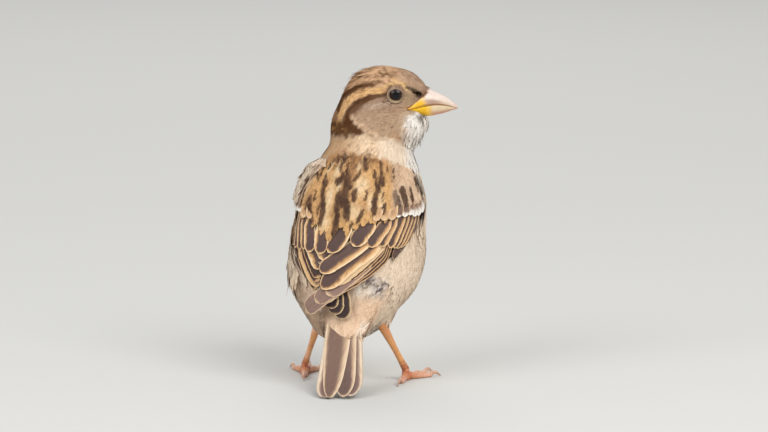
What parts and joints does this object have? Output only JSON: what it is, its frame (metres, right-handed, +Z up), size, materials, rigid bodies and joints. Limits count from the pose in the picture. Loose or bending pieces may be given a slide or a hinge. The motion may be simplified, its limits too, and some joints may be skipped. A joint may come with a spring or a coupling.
{
  "type": "house sparrow",
  "caption": "Still, life-size female house sparrow standing upright with its head turned over its right shoulder, wings folded, tail tip resting on the floor.",
  "frame": {"origin": "on the floor, below the middle of the bird's bounding box", "axes": "+Z up; the body faces -Y, its tail is towards +Y and its left side is towards +X; the head is turned 72 degrees to its right, so the bill points towards -X"},
  "size_m": [0.0569, 0.0748, 0.104],
  "materials": {
    "body_feathers": "matte buff-brown feathers",
    "head_feathers": "matte grey-brown feathers with a buff eyebrow",
    "underpart_feathers": "matte pale grey-buff feathers",
    "wing_feathers": "satin dark brown feathers with buff fringes",
    "tail_feathers": "satin taupe-brown feathers with pale fringes",
    "eye": "wet, nearly black",
    "bill_horn": "satin pinkish horn, yellow at the gape",
    "leg_scales": "scaled skin, orange-pink",
    "claw_horn": "satin pale horn"
  },
  "bodies": {
    "root": {"bill_lower": "bill_horn", "bill_upper": "bill_horn", "claw_hind_left": "claw_horn", "claw_hind_right": "claw_horn", "claw_inner_left": "claw_horn", "claw_inner_right": "claw_horn", "claw_middle_left": "claw_horn", "claw_middle_right": "claw_horn", "claw_outer_left": "claw_horn", "claw_outer_right": "claw_horn", "eye_left": "eye", "eye_right": "eye", "foot_left": "leg_scales", "foot_right": "leg_scales", "head": "head_feathers", "neck": "head_feathers", "tail": "tail_feathers", "tail_coverts": "body_feathers", "tarsus_left": "leg_scales", "tarsus_right": "leg_scales", "thigh_left": "underpart_feathers", "thigh_right": "underpart_feathers", "trunk": "underpart_feathers", "wing_left": "wing_feathers", "wing_right": "wing_feathers"}
  },
  "joints": []
}
